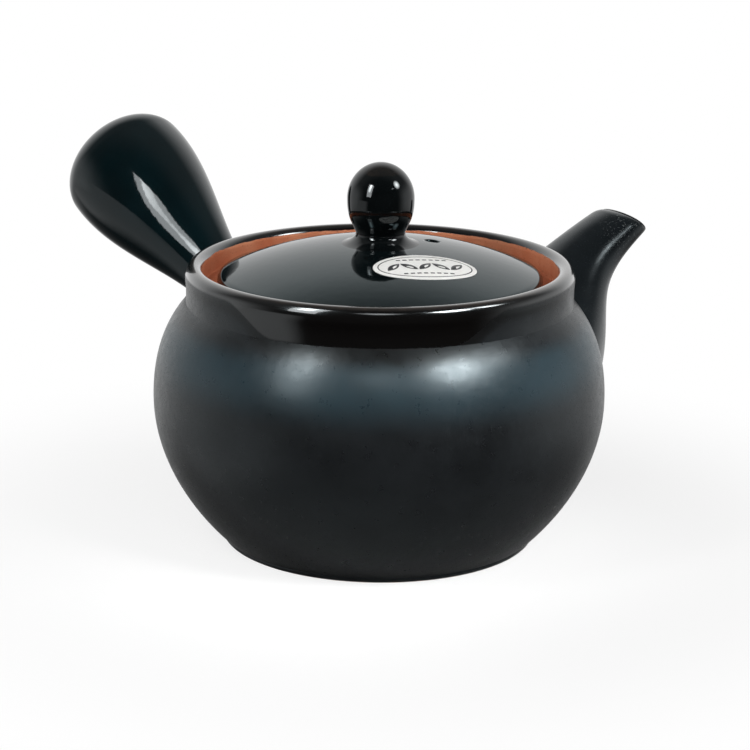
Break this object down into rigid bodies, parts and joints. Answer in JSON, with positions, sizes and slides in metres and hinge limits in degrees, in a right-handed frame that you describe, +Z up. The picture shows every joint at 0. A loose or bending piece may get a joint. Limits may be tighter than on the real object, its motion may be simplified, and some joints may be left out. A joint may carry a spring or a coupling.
{
  "type": "side-handled teapot",
  "caption": "Round dark-glazed teapot with a hollow flared side handle, a short curved spout, a domed lid with a ball knob and a wire strainer band inside its belly.",
  "frame": {"origin": "middle of the foot ring on the table plane, on the pot's axis", "axes": "+Z up along the pot's axis, +X towards the spout; the handle points about a quarter turn round, near +Y"},
  "size_m": [0.15, 0.177, 0.1015],
  "materials": {
    "body_glaze": "satin blue-black glaze",
    "gloss_glaze": "glossy black glaze",
    "label_paper": "smooth white paper",
    "strainer_steel": "woven stainless wire and folded strip"
  },
  "bodies": {
    "pot": {"pot_body": "body_glaze", "spout": "body_glaze", "handle": "gloss_glaze", "strainer_mesh": "strainer_steel", "strainer_top_hem": "strainer_steel", "strainer_bottom_hem": "strainer_steel", "strainer_seam_strip": "strainer_steel"},
    "lid": {"lid": "gloss_glaze", "lid_knob": "gloss_glaze", "lid_label": "label_paper"}
  },
  "joints": [
    {"name": "lid_lift", "type": "slide", "parent": "pot", "child": "lid", "axis": [0, 0, 1], "range_m": [0, 0.06]}
  ]
}
